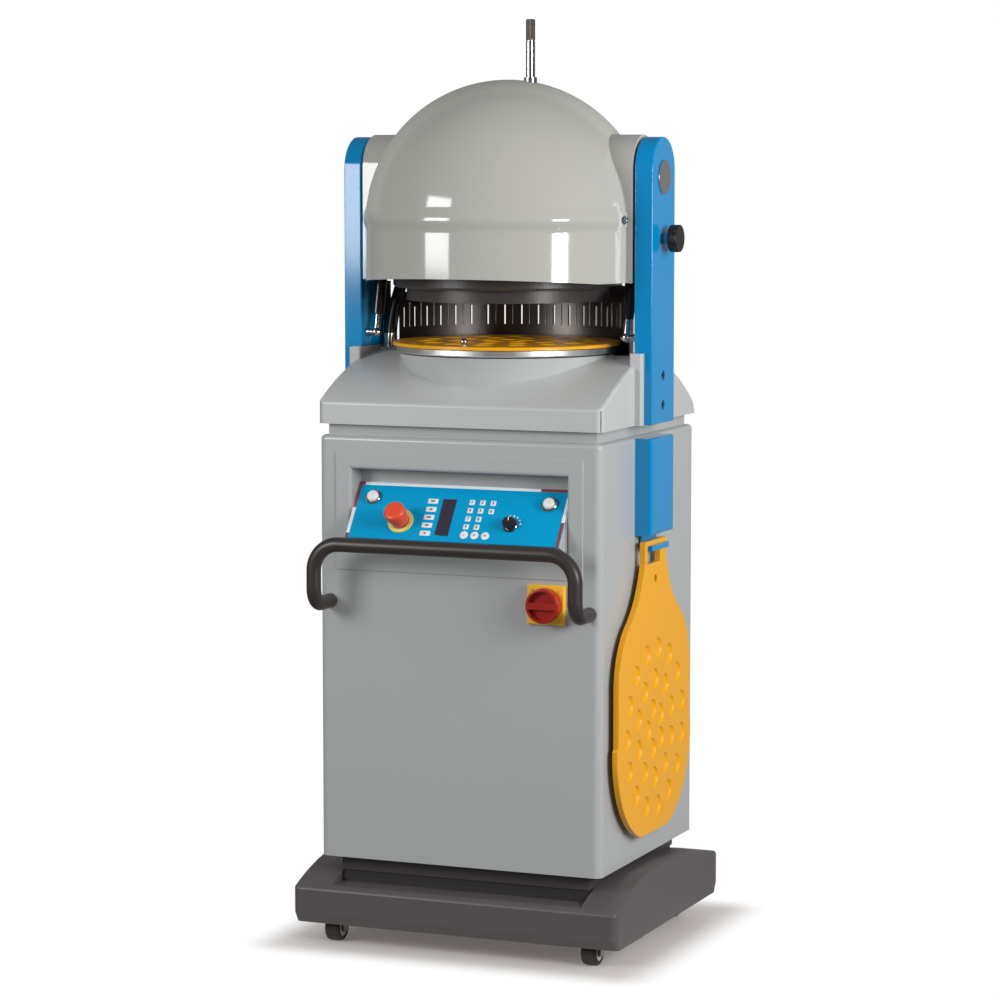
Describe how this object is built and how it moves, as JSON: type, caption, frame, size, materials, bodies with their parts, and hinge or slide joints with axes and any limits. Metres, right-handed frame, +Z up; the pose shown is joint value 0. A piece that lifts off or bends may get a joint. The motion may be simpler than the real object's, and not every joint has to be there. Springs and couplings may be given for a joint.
{
  "type": "dough divider rounder",
  "caption": "Floor-standing bakery machine whose tilting domed press head pushes and cuts dough, over an orbiting table that rounds it; grey cabinet, sloped control panel, castors.",
  "frame": {"origin": "on the floor under the middle of the cabinet", "axes": "+Z up, +X to the right seen from the front, -Y towards the user at the control panel"},
  "size_m": [0.659, 0.6115, 1.704],
  "materials": {
    "base_paint": "satin anthracite paint",
    "dark_paint": "satin dark grey paint",
    "cabinet_paint": "satin silver-grey paint",
    "cover_shell": "satin light grey moulding",
    "hood_shell": "glossy warm grey moulding",
    "blue_paint": "satin blue paint",
    "panel_film": "blue film with white keys",
    "handle_grip": "matt black coating",
    "white_cap": "white push cap",
    "red_cap": "red push head",
    "yellow_collar": "pale yellow collar",
    "switch_yellow": "yellow plate",
    "switch_red": "dark red rotary handle",
    "black_plastic": "black plastic",
    "chrome": "bright chrome",
    "steel": "turned steel",
    "stainless": "stainless sheet",
    "cast_parts": "cast housing",
    "tank": "painted tank and pump",
    "table_aluminium": "turned aluminium",
    "plate_yellow": "yellow food-grade plastic",
    "ring_enamel": "dark grey hammered enamel",
    "segments": "cast aluminium",
    "gas_black": "gloss black tube",
    "rubber": "black rubber",
    "castor_tread": "black tread"
  },
  "bodies": {
    "frame": {"base": "base_paint", "plinth": "dark_paint", "chassis": "cabinet_paint", "cabinet_shell": "cabinet_paint", "rear_panel": "cabinet_paint", "cable_gland": "black_plastic", "control_fascia": "cabinet_paint", "control_panel": "panel_film", "start_button_rings": "chrome", "e_stop_collar": "yellow_collar", "main_switch_plate": "switch_yellow", "push_handle": "handle_grip", "top_cover": "cover_shell", "upright_left": "blue_paint", "upright_right": "blue_paint", "upright_bolts": "steel", "pivot_pins": "chrome", "plunger_body": "steel", "plate_holder": "blue_paint", "splash_guard": "stainless", "spring_studs": "chrome", "bearing_unit": "cast_parts", "drive_motor": "cast_parts", "drive_belt": "rubber", "hydraulic_unit": "tank", "hydraulic_hoses": "rubber"},
    "head": {"hood": "hood_shell", "hood_screws": "chrome", "head_yoke": "dark_paint", "press_cylinder": "cast_parts", "rod_bush": "steel"},
    "press": {"press_ring": "ring_enamel", "pressing_segments": "segments", "press_rods": "chrome"},
    "knives": {"knife_star": "stainless"},
    "eccentric": {"eccentric_shaft": "steel", "driven_pulley": "cast_parts"},
    "motor_rotor": {"motor_pulley": "steel"},
    "table": {"table_disc": "table_aluminium"},
    "plate": {"moulding_plate": "plate_yellow", "plate_knob": "chrome"},
    "spare": {"spare_plate": "plate_yellow"},
    "stop_button": {"e_stop_button": "red_cap"},
    "start_left": {"start_button_left": "white_cap"},
    "start_right": {"start_button_right": "white_cap"},
    "timer": {"timer_knob": "black_plastic"},
    "main_switch": {"main_switch_handle": "switch_red"},
    "plunger": {"plunger_knob": "black_plastic"},
    "spring_tube_left": {"gas_tube_left": "gas_black"},
    "spring_tube_right": {"gas_tube_right": "gas_black"},
    "spring_rod_left": {"gas_rod_left": "chrome"},
    "spring_rod_right": {"gas_rod_right": "chrome"},
    "swivel_front_left": {"castor_fork_front_left": "steel"},
    "wheel_front_left": {"castor_wheel_front_left": "castor_tread"},
    "swivel_front_right": {"castor_fork_front_right": "steel"},
    "wheel_front_right": {"castor_wheel_front_right": "castor_tread"},
    "swivel_rear_left": {"castor_fork_rear_left": "steel"},
    "wheel_rear_left": {"castor_wheel_rear_left": "castor_tread"},
    "swivel_rear_right": {"castor_fork_rear_right": "steel"},
    "wheel_rear_right": {"castor_wheel_rear_right": "castor_tread"}
  },
  "joints": [
    {"name": "head_tilt", "type": "hinge", "parent": "frame", "child": "head", "pos_m": [0, -0.01, 1.416], "axis": [-1, 0, 0], "range_deg": [0, 70], "deforming": ["hydraulic_hoses"]},
    {"name": "press_slide", "type": "slide", "parent": "head", "child": "press", "axis": [0, 0, -1], "range_m": [0, 0.075]},
    {"name": "knife_slide", "type": "slide", "parent": "press", "child": "knives", "axis": [0, 0, -1], "range_m": [0, 0.02]},
    {"name": "eccentric_spin", "type": "hinge", "parent": "frame", "child": "eccentric", "pos_m": [0, -0.01, 0.9], "axis": [0, 0, 1], "continuous": true},
    {"name": "table_orbit", "type": "hinge", "parent": "eccentric", "child": "table", "pos_m": [0, -0.015, 1.07], "axis": [0, 0, 1], "continuous": true},
    {"name": "motor_spin", "type": "hinge", "parent": "frame", "child": "motor_rotor", "pos_m": [0, 0.14, 0.85], "axis": [0, 0, 1], "continuous": true},
    {"name": "plate_lift_out", "type": "slide", "parent": "table", "child": "plate", "axis": [0, -1, 0], "range_m": [0, 0.45]},
    {"name": "spare_unhook", "type": "slide", "parent": "frame", "child": "spare", "axis": [0, -1, 0], "range_m": [0, 0.11]},
    {"name": "stop_press", "type": "slide", "parent": "frame", "child": "stop_button", "axis": [0, 0.8132, -0.582], "range_m": [0, 0.005]},
    {"name": "timer_turn", "type": "hinge", "parent": "frame", "child": "timer", "pos_m": [0.1075, -0.25906, 0.79605], "axis": [0, -0.8132, 0.582], "range_deg": [-135, 135]},
    {"name": "switch_turn", "type": "hinge", "parent": "frame", "child": "main_switch", "pos_m": [0.174, -0.26, 0.655], "axis": [0, 1, 0], "range_deg": [0, 90]},
    {"name": "plunger_pull", "type": "slide", "parent": "frame", "child": "plunger", "axis": [1, 0, 0], "range_m": [0, 0.012], "stiffness_N_per_m": 400, "springref_m": -0.01},
    {"name": "start_press_left", "type": "slide", "parent": "frame", "child": "start_left", "axis": [0, 0.8132, -0.582], "range_m": [0, 0.003], "stiffness_N_per_m": 300, "springref_m": -0.004},
    {"name": "start_press_right", "type": "slide", "parent": "frame", "child": "start_right", "axis": [0, 0.8132, -0.582], "range_m": [0, 0.003], "stiffness_N_per_m": 300, "springref_m": -0.004},
    {"name": "spring_swing_left", "type": "hinge", "parent": "frame", "child": "spring_tube_left", "pos_m": [-0.25, -0.051, 1.125], "axis": [-1, 0, 0], "range_deg": [0, 2.6]},
    {"name": "spring_stroke_left", "type": "slide", "parent": "spring_tube_left", "child": "spring_rod_left", "axis": [0, -0.2282, -0.9736], "range_m": [0, 0.043]},
    {"name": "spring_swing_right", "type": "hinge", "parent": "frame", "child": "spring_tube_right", "pos_m": [0.25, -0.051, 1.125], "axis": [-1, 0, 0], "range_deg": [0, 2.6]},
    {"name": "spring_stroke_right", "type": "slide", "parent": "spring_tube_right", "child": "spring_rod_right", "axis": [0, -0.2282, -0.9736], "range_m": [0, 0.043]},
    {"name": "castor_swivel_front_left", "type": "hinge", "parent": "frame", "child": "swivel_front_left", "pos_m": [-0.255, -0.212, 0.076], "axis": [0, 0, 1], "continuous": true},
    {"name": "castor_roll_front_left", "type": "hinge", "parent": "swivel_front_left", "child": "wheel_front_left", "pos_m": [-0.255, -0.227, 0.025], "axis": [1, 0, 0], "continuous": true},
    {"name": "castor_swivel_front_right", "type": "hinge", "parent": "frame", "child": "swivel_front_right", "pos_m": [0.255, -0.212, 0.076], "axis": [0, 0, 1], "continuous": true},
    {"name": "castor_roll_front_right", "type": "hinge", "parent": "swivel_front_right", "child": "wheel_front_right", "pos_m": [0.255, -0.227, 0.025], "axis": [1, 0, 0], "continuous": true},
    {"name": "castor_swivel_rear_left", "type": "hinge", "parent": "frame", "child": "swivel_rear_left", "pos_m": [-0.255, 0.212, 0.076], "axis": [0, 0, 1], "continuous": true},
    {"name": "castor_roll_rear_left", "type": "hinge", "parent": "swivel_rear_left", "child": "wheel_rear_left", "pos_m": [-0.255, 0.197, 0.025], "axis": [1, 0, 0], "continuous": true},
    {"name": "castor_swivel_rear_right", "type": "hinge", "parent": "frame", "child": "swivel_rear_right", "pos_m": [0.255, 0.212, 0.076], "axis": [0, 0, 1], "continuous": true},
    {"name": "castor_roll_rear_right", "type": "hinge", "parent": "swivel_rear_right", "child": "wheel_rear_right", "pos_m": [0.255, 0.197, 0.025], "axis": [1, 0, 0], "continuous": true}
  ],
  "couplings": [
    {"joint": "table_orbit", "follows": "eccentric_spin", "ratio": -1},
    {"joint": "motor_spin", "follows": "eccentric_spin", "ratio": 2.5},
    {"joint": "spring_swing_left", "follows": "head_tilt", "ratio": 0.036},
    {"joint": "spring_stroke_left", "follows": "head_tilt", "m_per_rad": 0.0348},
    {"joint": "spring_swing_right", "follows": "head_tilt", "ratio": 0.036},
    {"joint": "spring_stroke_right", "follows": "head_tilt", "m_per_rad": 0.0348}
  ]
}
